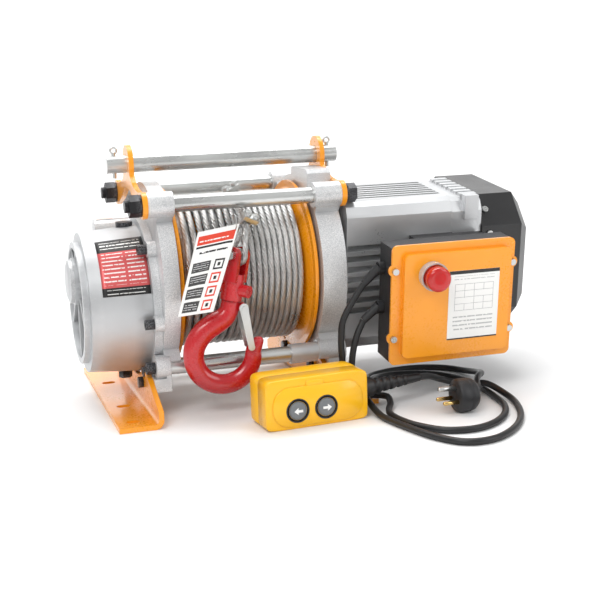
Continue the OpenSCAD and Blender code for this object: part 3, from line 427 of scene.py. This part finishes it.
def lobed_rope(name, line, radius, lay, finish, body, lobes=6, per_lobe=4):
    """A rope of twisted strands: a lobed section that turns once in each lay length."""
    outline = []
    for k in range(lobes * per_lobe):
        turn = 2 * math.pi * k / (lobes * per_lobe)
        off = (turn + math.pi / lobes) % (2 * math.pi / lobes) - math.pi / lobes
        inner = max(1 / 9 - (2 / 3 * math.sin(off)) ** 2, 0)
        outline.append((turn, max(2 / 3 * math.cos(off) + math.sqrt(inner), 0.74)))
    points, uvs, faces = [], [], []
    run = 0.0
    count = len(outline)
    for i, (point, (along, side, up)) in enumerate(zip(line, carried_frames(line))):
        if i:
            run += (point - line[i - 1]).length
        for turn, reach in outline:
            t = turn + 2 * math.pi * run / lay
            points.append(point + side * (radius * reach * math.cos(t)) + up * (radius * reach * math.sin(t)))
            uvs.append((run, turn / (2 * math.pi)))
    for i in range(len(line) - 1):
        for k in range(count):
            j = (k + 1) % count
            faces.append((i * count + k, (i + 1) * count + k, (i + 1) * count + j, i * count + j))
    faces.append(tuple(range(count)))
    faces.append(tuple((len(line) - 1) * count + k for k in range(count - 1, -1, -1)))
    return piece(name, points, faces, finish, body, uvs=uvs)


def helix(radius, x0, x1, pitch_left, pitch_right, x_change, step):
    """Turns about the drum axis from x0 to x1, wide turns on the left and close ones on the right."""
    line = []
    x, turn = x1, 0.0
    while x > x0:
        line.append(Vector((x, -radius * math.sin(turn), AXIS_Z + radius * math.cos(turn))))
        pitch = pitch_right if x > x_change else pitch_left
        turn += step / radius
        x -= pitch * step / (2 * math.pi * radius)
    return line


ROPE_R = 0.0030
ROPE_LAY = 0.040
outer_line = helix(0.0735, -0.0475, 0.0704, 0.0078, 0.0061, 0.0, 0.0036)
inner_line = helix(0.0670, -0.0470, 0.0700, 0.0064, 0.0064, 0.0, 0.007)
outer = lobed_rope("rope_outer_layer", outer_line, ROPE_R, ROPE_LAY, wire_rope, "drum")
inner = lobed_rope("rope_inner_layer", inner_line, ROPE_R, ROPE_LAY, wire_rope, "drum", per_lobe=2)
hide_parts("rope_winding")


# Middle line of the doubled tail in millimetres, with the turn and half spacing of its pair of strands
TAIL_LINE = [(14, -25, 206.5), (12.5, -43, 207), (12, -54, 201), (11, -64, 194),
             (10, -75, 189), (9, -86, 184), (5, -94, 176.5), (0.5, -99, 168)]
TAIL_TURN = [-60, -60, -75, -90, -105, -120, -128, -132]
TAIL_HALF = [3.3, 3.3, 3.3, 3.3, 3.3, 3.3, 4.2, 6.5]


def tail_strand(side):
    """One of the pair of strands beside the tail's middle line, as in the CAD."""
    middle = [Vector(point) for point in TAIL_LINE]
    points = []
    for i, (point, turn, half) in enumerate(zip(middle, TAIL_TURN, TAIL_HALF)):
        along = middle[min(i + 1, len(middle) - 1)] - middle[max(i - 1, 0)]
        pitch, turn = math.atan2(-along.y, along.z), math.radians(turn)
        across = Vector((math.cos(turn), math.sin(turn) * math.cos(pitch), math.sin(turn) * math.sin(pitch)))
        points.append((point + across * (side * half)) * MM)
    return points


def rope_tail_line():
    """From the drum behind the front tie tube, round the thimble and back beside itself."""
    out = Vector((math.sin(math.radians(45)), -math.cos(math.radians(45)), 0))
    eye = [HOOK_PIN + (out * math.cos(t) + Vector((0, 0, math.sin(t)))) * 0.0084
           for t in [math.radians(a) for a in range(180, 361, 30)]]
    return smooth_line(tail_strand(1) + eye + tail_strand(-1)[::-1], 5)


def make_rope_tail():
    tail = lobed_rope("rope_tail_strand", rope_tail_line(), ROPE_R, ROPE_LAY, wire_rope, "root")
    profile = [(0.0041, -0.0035), (0.0052, -0.0038), (0.0064, -0.0034), (0.0050, 0), (0.0064, 0.0034),
               (0.0052, 0.0038), (0.0041, 0.0035)]
    points, faces = turned(profile, 48)
    place = Matrix.Translation(HOOK_PIN) @ spin(45, "Z") @ spin(90, "Y")
    piece("thimble", points, [f for f in faces if len(f) == 4], zinc_small, "root", place=place)
    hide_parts("rope_tail")


make_rope_tail()


# ---- Hook ----

def make_hook():
    """Forged hook: round neck, thick bowl and a rounded tip, swept along the bowl's own line."""
    cx, cz = 1.0, -98.0
    path = [(0, 0, -44.5), (0, 0, -50), (-0.8, 0, -56), (-5, 0, -63), (-13, 0, -69.5), (-21, 0, -77)]
    size = [9.2, 9.4, 9.6, 10.4, 11.2, 11.2]
    for degrees, radius in ((160, 10.9), (180, 10.4), (200, 10.1), (220, 10), (240, 10), (260, 10), (280, 10),
                            (300, 9.9), (320, 9.7), (340, 9.2), (358, 8.6), (372, 7.9)):
        t = math.radians(degrees)
        path.append((cx + 30 * math.cos(t), 0, cz + 30 * math.sin(t)))
        size.append(radius)
    path += [(32.5, 0, -84.5), (35.2, 0, -79.5), (36, 0, -77.6)]
    size += [6.6, 4.4, 1.2]
    line = smooth_line([Vector(p) * MM for p in path], 5)
    widths = smooth_line([(r, 0, 0) for r in size], 5)
    rings = swept(line, [w.x * MM for w in widths], 28, flat=0.78, across=Vector((0, 1, 0)))
    points, faces = loft(rings)
    body = piece("hook_body", points, faces, red_paint, "hook", place=HOOK)
    shank = [(0, -0.047), (0.0055, -0.047), (0.0055, -0.0339), (0.008, -0.0339), (0.008, -0.0261),
             (0.0055, -0.0261), (0.0055, -0.0232), (0, -0.0232)]
    points, faces = turned(shank, 32)
    piece("hook_shank", points, faces, red_paint, "hook", place=HOOK)
    lug = shift(0.0117, 0.0072, -0.0497) @ spin(90, "X")
    rivet = [(0, 0), (0.0040, 0), (0.0046, 0.0008), (0.0046, 0.0136), (0.0040, 0.0144), (0, 0.0144)]
    points, faces = turned(rivet, 32)
    piece("hook_latch_lug", points, faces, red_paint, "hook", place=HOOK @ lug)
    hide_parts("hook")


make_hook()


# ---- Pendant ----

PANEL_FRONT, PANEL_BACK = -0.0231, -0.0211
BUTTON_FRONT = -0.0255
BUTTON_Z = 0.018


def rounded_ring(half_x, half_z, power, count):
    """A box outline whose corners get squarer as the power grows."""
    ring = []
    for k in range(count):
        t = 2 * math.pi * k / count
        c, s = math.cos(t), math.sin(t)
        x = half_x * math.copysign(abs(c) ** (2 / power), c)
        ring.append((x, half_z * math.copysign(abs(s) ** (2 / power), s)))
    return ring


def pendant_half(name, sections, node):
    half_len, half_height = 0.052, 0.02425
    rings = []
    for y, inset in sections:
        ring = rounded_ring(half_len - inset * MM, half_height - inset * MM, 12, 160)
        rings.append([(x, y * MM, half_height + z) for x, z in ring])
    points, faces = loft(rings)
    made = piece(name, points, faces, yellow, "root", place=PENDANT)
    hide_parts(node)


def stadium(x0, x1, z0, z1, y0, y1, radius, name, finish):
    """A raised panel with round corners, standing from y1 to y0 on the pendant's front."""
    rings = []
    for y, inset in ((y1, 0), (y0 + 0.0006, 0), (y0, 0.0006)):
        ring = []
        for cx, cz, start in ((x1, z1, 0), (x0, z1, 90), (x0, z0, 180), (x1, z0, 270)):
            mx = cx - math.copysign(radius, cx - (x0 + x1) / 2)
            mz = cz - math.copysign(radius, cz - (z0 + z1) / 2)
            for k in range(9):
                t = math.radians(start + k * 90 / 8)
                ring.append((mx + (radius - inset) * math.cos(t), y, mz + (radius - inset) * math.sin(t)))
        rings.append(ring)
    points, faces = loft(rings)
    return piece(name, points, faces, finish, "root", place=PENDANT)


def pendant_button(name, x, node, body, points_right):
    """A button with its printed arrow, and the dark collar round it."""
    centre = PENDANT @ shift(x * MM, 0, BUTTON_Z)
    front = centre @ shift(0, BUTTON_FRONT, 0)
    turn = spin(-90, "X")
    profile = [(0, 0), (0.0066, 0.0001), (0.0082, 0.0008), (0.0089, 0.0022), (0.0090, 0.006), (0.0090, 0.010),
               (0.004, 0.0102), (0.004, 0.022), (0, 0.022)]
    points, faces = turned(profile, 48)
    cap = piece(name, points, faces, grey_cap, body, place=front @ turn)
    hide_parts(node)
    s = 1 if points_right else -1
    flat = [(s * 4.6, 0), (s * 0.4, 3.4), (s * 0.4, 1.2), (-s * 4.2, 1.2), (-s * 4.2, -1.2), (s * 0.4, -1.2),
            (s * 0.4, -3.4)]
    rings = [[(px * MM, y, pz * MM) for px, pz in flat] for y in (0.0004, -0.0003)]
    points, faces = loft(rings)
    piece(name + "_arrow", points, faces, white_paint, body, smooth=False, place=front)
    collar = [(0.0092, 0.0), (0.0092, -0.0003), (0.0106, -0.0003), (0.0108, -0.0009), (0.0114, -0.0009),
              (0.0117, 0.0)]
    points, faces = turned(collar, 48)
    piece(name + "_ring", points, [f for f in faces if len(f) == 4], black_steel, "root",
          place=centre @ shift(0, PANEL_FRONT, 0) @ turn)


# Depth of each outline of the front half in millimetres, and how far it lies inside the widest one
FRONT_DEPTHS = [(-21.5, 1.5), (-21.3, 0.8), (-20.8, 0.2), (-20.0, 0), (-0.3, 0), (-0.1, 0.2), (-0.05, 0.5)]
pendant_half("pendant_front_shell", FRONT_DEPTHS, "pendant_front")
pendant_half("pendant_back_shell", [(-y, inset) for y, inset in reversed(FRONT_DEPTHS)], "pendant_back")
stadium(-0.0455, 0.0460, 0.0030, 0.0410, PANEL_FRONT, PANEL_BACK, 0.017, "pendant_panel", yellow)
stadium(-0.012, 0.006, 0.0400, 0.0455, -0.0228, PANEL_BACK, 0.002, "pendant_panel_tab", yellow)
pendant_button("button_left_cap", -21, "pendant_button_left", "button_left", False)
pendant_button("button_right_cap", 8, "pendant_button_right", "button_right", True)


# ---- Boot, stop button and labels ----

def make_boot():
    root = Vector((0.10042, -0.14785, 0.024))
    tip = Vector(PENDANT_ROUTE[-1]) * MM
    steps = 90
    line = [root.lerp(tip, i / steps) for i in range(steps + 1)]
    length = (tip - root).length
    radii = []
    for i in range(steps + 1):
        d = i / steps * length / MM
        taper = 9.0 - d * 0.066
        if d < 14:
            radii.append(0.0099)
        elif d < 56:
            wave = 0.5 + 0.5 * math.cos(2 * math.pi * (d - 14) / 8.4)
            radii.append((taper - 1.9 * (wave < 0.45)) * MM)
        else:
            radii.append((5.0 - 1.1 * (d - 56) / 16) * MM)
    points, faces = loft(swept(line, radii, 32))
    made = piece("boot_sleeve", points, faces, rubber, "root")
    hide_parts("pendant_boot")


def make_stop_button():
    x, z = 0.1776, 0.022
    turn = spin(-90, "X")
    place = MOTOR @ shift(x, -0.171, z) @ turn
    profile = [(0, 0), (0.009, 0.0001), (0.0113, 0.0008), (0.0122, 0.0024), (0.0123, 0.005), (0.0123, 0.0148),
               (0.008, 0.0152), (0.008, 0.035), (0, 0.035)]
    points, faces = turned(profile, 64)
    cap = piece("stop_cap", points, faces, red_clear, "stop_button", place=place)
    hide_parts("stop_button")
    nodes["stop_button_collar"].data.materials[0] = clear


def gearbox_radius(x):
    return (71 + 5 * (x + 142) / 67) * MM


def make_nameplate():
    """Printed plate bent round the front of the gearbox casting."""
    zones = [(0, 0.73, 1, 1, (0.02, 0.02, 0.02), 0), (0.08, 0.80, 0.92, 0.94, (0.7, 0.7, 0.68), 2),
             (0, 0.13, 1, 0.73, (0.62, 0.10, 0.10), 0), (0.06, 0.17, 0.52, 0.70, (0.86, 0.80, 0.78), 8),
             (0.58, 0.17, 0.94, 0.70, (0.88, 0.86, 0.84), 8), (0, 0, 1, 0.13, (0.02, 0.02, 0.02), 0),
             (0.1, 0.03, 0.9, 0.10, (0.7, 0.7, 0.68), 1)]
    finish = label_material("nameplate", (0.7, 0.7, 0.7), zones, 0.28, 0.3)
    across, up = 12, 16
    points, uvs, faces = [], [], []
    for layer, lift in ((0, 0.0007), (1, -0.0003)):
        for j in range(up + 1):
            t = math.radians(13 + (63.5 - 13) * j / up)
            for i in range(across + 1):
                x = -130 + 46.5 * i / across
                r = gearbox_radius(x) + lift
                points.append((x * MM, -r * math.cos(t), 0.1045 + r * math.sin(t)))
                uvs.append((i / across, j / up))
    row = across + 1
    back = row * (up + 1)
    for j in range(up):
        for i in range(across):
            a = j * row + i
            faces.append((a, a + 1, a + row + 1, a + row))
            faces.append((back + a, back + a + row, back + a + row + 1, back + a + 1))
    rim = [i for i in range(row)] + [j * row + across for j in range(1, up + 1)]
    rim += [up * row + i for i in range(across - 1, -1, -1)] + [j * row for j in range(up - 1, 0, -1)]
    for a, b in zip(rim, rim[1:] + rim[:1]):
        faces.append((a, back + a, back + b, b))
    piece("nameplate", points, faces, finish, "root", uvs=uvs)


def flat_label(name, corners, zones, ground, place, body, thick=0.0005, rough=0.4):
    """A thin plate with printed zones; corners run (0,0), (1,0), (1,1), (0,1) and it is thick along +Y."""
    finish = label_material(name, ground, zones, rough)
    spots = [(0, 0), (1, 0), (1, 1), (0, 1)]
    points = [(x, y, z) for y in (0.0, thick) for x, z in corners]
    faces = [(0, 1, 2, 3), (7, 6, 5, 4), (0, 4, 5, 1), (1, 5, 6, 2), (2, 6, 7, 3), (3, 7, 4, 0)]
    return piece(name, points, faces, finish, body, uvs=spots * 2, smooth=False, place=place)


def make_labels():
    ink, red, white = (0.02, 0.02, 0.02), (0.72, 0.06, 0.03), (0.86, 0.86, 0.84)
    faint = (0.45, 0.45, 0.45)
    wiring = [(0, 0.95, 1, 1, ink, 0), (0, 0, 1, 0.02, ink, 0), (0.10, 0.87, 0.9, 0.92, faint, 1)]
    for k in range(5):
        wiring.append((0.12 + 0.19 * k, 0.42, 0.13 + 0.19 * k, 0.80, faint, 0))
        wiring.append((0.12, 0.42 + 0.095 * k, 0.89, 0.427 + 0.095 * k, faint, 0))
    wiring += [(0.10, 0.10, 0.9, 0.34, faint, 4), (0.30, 0.52, 0.44, 0.60, white, 0),
               (0.60, 0.62, 0.72, 0.70, white, 0)]
    corners = [(0.196, -0.047), (0.250, -0.047), (0.250, 0.024), (0.196, 0.024)]
    lid_front = MOTOR @ shift(0, -0.1514, 0)
    flat_label("wiring_label", corners, wiring, white, lid_front, "root")
    tag = [(0.05, 0.83, 0.95, 0.94, red, 0), (0.10, 0.86, 0.80, 0.91, white, 1),
           (0.05, 0.79, 0.95, 0.815, ink, 0), (0.16, 0.69, 0.86, 0.76, ink, 1)]
    for k in range(4):
        v = 0.50 - 0.155 * k
        tag.append((0.07, v, 0.50, v + 0.12, (0.05, 0.05, 0.05), 0))
        tag.append((0.10, v + 0.02, 0.47, v + 0.10, (0.6, 0.6, 0.6), 3))
        tag.append((0.60, v, 0.88, v + 0.12, red if k else ink, 0))
        tag.append((0.64, v + 0.02, 0.84, v + 0.10, white, 0))
        tag.append((0.70, v + 0.04, 0.78, v + 0.08, ink, 0))
    hinge = Vector((-0.007, -0.1114, 0.1905))
    place = shift(0, hinge.y, hinge.z) @ spin(-5, "X") @ shift(0, -0.0004, -hinge.z)
    corners = [(-0.0676, 0.105), (-0.0335, 0.107), (-0.0024, 0.1885), (-0.043, 0.183)]
    card = flat_label("tag_card", corners, tag, white, place, "tag", 0.0008, 0.3)
    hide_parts("hook_tag")
    loop_r, wire_r = 0.007, 0.0006
    loop = [hinge + Vector((0, math.cos(t), math.sin(t))) * loop_r
            for t in [2 * math.pi * k / 36 for k in range(36)]]
    rings = []
    for point in loop:
        out = (point - hinge).normalized()
        rings.append([point + out * (wire_r * math.cos(a)) + Vector((wire_r * math.sin(a), 0, 0))
                      for a in [math.pi * k / 4 for k in range(8)]])
    points, faces = loft(rings + [rings[0]], closed_ends=False)
    piece("tag_loop", points, faces, zinc_small, "tag")
    corners = [(-0.1185, 0.0), (-0.0995, 0.0), (-0.0995, 0.008), (-0.1185, 0.008)]
    zones = [(0, 0.62, 1, 1, (0.8, 0.25, 0.02), 0), (0.1, 0.1, 0.9, 0.55, (0.6, 0.05, 0.03), 3)]
    bump_top = shift(0, 0.030, 0.1842) @ spin(-90, "X")
    flat_label("gearbox_label", corners, zones, white, bump_top, "root")


make_boot()
make_stop_button()
make_nameplate()
make_labels()


# ---- Finishes of the CAD nodes ----

FINISHES = {
    casting: ["left_frame", "right_frame", "gearbox_housing", "bearing_cap"],
    motor_silver: ["motor_frame", "end_shield"],
    orange: ["hanger_plate_left", "hanger_plate_right", "foot_left", "foot_right", "drum", "control_box_lid"],
    zinc: ["tie_tube_front", "tie_tube_rear", "tie_rods_lower", "hanging_rod"],
    zinc_small: ["cotter_pins", "cover_screws", "rope_clips", "clevis_pin", "hook_latch"],
    black_steel: ["tie_bolts", "foot_bolts", "gearbox_screws", "oil_plugs"],
    black_cover: ["fan_cover"],
    machine_steel: ["output_gear", "layshaft_a", "layshaft_b", "motor_shaft", "drum_bearings",
                    "motor_bearings", "brake_armature", "rotor_core", "stator_core"],
    copper: ["stator_windings", "brake_coil"],
    black_plastic: ["fan", "terminal_box", "control_box_base", "cable_glands", "brake_disc"],
    pale_plastic: ["contactor", "capacitor", "pendant_contacts"],
    red_paint: ["hook_clevis"],
}
for finish, names in FINISHES.items():
    for name in names:
        nodes[name].data.materials.clear()
        nodes[name].data.materials.append(finish)


# ---- Floor, light and finish ----

def make_floor():
    """Pale floor that curves up into a backdrop behind the hoist."""
    made, tree, shader = new_material("pale_floor")
    place = add(tree, "TexCoord").outputs["Object"]
    fine = add(tree, "TexNoise", {"Vector": place, "Scale": 60.0, "Detail": 4.0}).outputs["Fac"]
    tree.links.new(spread(tree, fine, 0.55, 0.65), shader.inputs["Roughness"])
    shader.inputs["Base Color"].default_value = (0.86, 0.86, 0.86, 1)
    mesh = bpy.data.meshes.new("floor")
    profile = [(-6, 0), (1.5, 0)]
    profile += [(1.5 + 2 * math.sin(t), 2 - 2 * math.cos(t))
                for t in [math.radians(10 * k) for k in range(1, 10)]]
    profile.append((3.5, 8))
    points = [(x, y, z) for y, z in profile for x in (-12, 12)]
    mesh.from_pydata(points, [], [(2 * i, 2 * i + 1, 2 * i + 3, 2 * i + 2) for i in range(len(profile) - 1)])
    for face in mesh.polygons:
        face.use_smooth = True
    mesh.materials.append(made)
    floor = bpy.data.objects.new("floor", mesh)
    bpy.context.scene.collection.objects.link(floor)


def area_light(name, place, target, size, power):
    data = bpy.data.lights.new(name, "AREA")
    data.shape = "RECTANGLE"
    data.size, data.size_y = size
    data.energy = power
    made = bpy.data.objects.new(name, data)
    bpy.context.scene.collection.objects.link(made)
    made.location = place
    made.rotation_euler = (Vector(target) - Vector(place)).to_track_quat("-Z", "Y").to_euler()


def make_light():
    world = bpy.data.worlds.new("studio")
    world.use_nodes = True
    world.node_tree.nodes["Background"].inputs["Color"].default_value = (1, 1, 1, 1)
    world.node_tree.nodes["Background"].inputs["Strength"].default_value = 0.55
    bpy.context.scene.world = world
    middle = (0.09, 0, 0.1)
    area_light("key", (-0.9, -1.3, 1.5), middle, (0.9, 0.9), 17)
    area_light("fill", (1.3, -1.2, 0.9), middle, (0.8, 1.2), 8)
    area_light("top", (0.1, 0.3, 1.8), middle, (1.4, 0.7), 13)
    area_light("backdrop", (0.1, 1.6, 3.4), (0.1, 3.6, 1.2), (4.0, 1.0), 130)


make_floor()
make_light()
bpy.context.scene.view_settings.view_transform = "Standard"
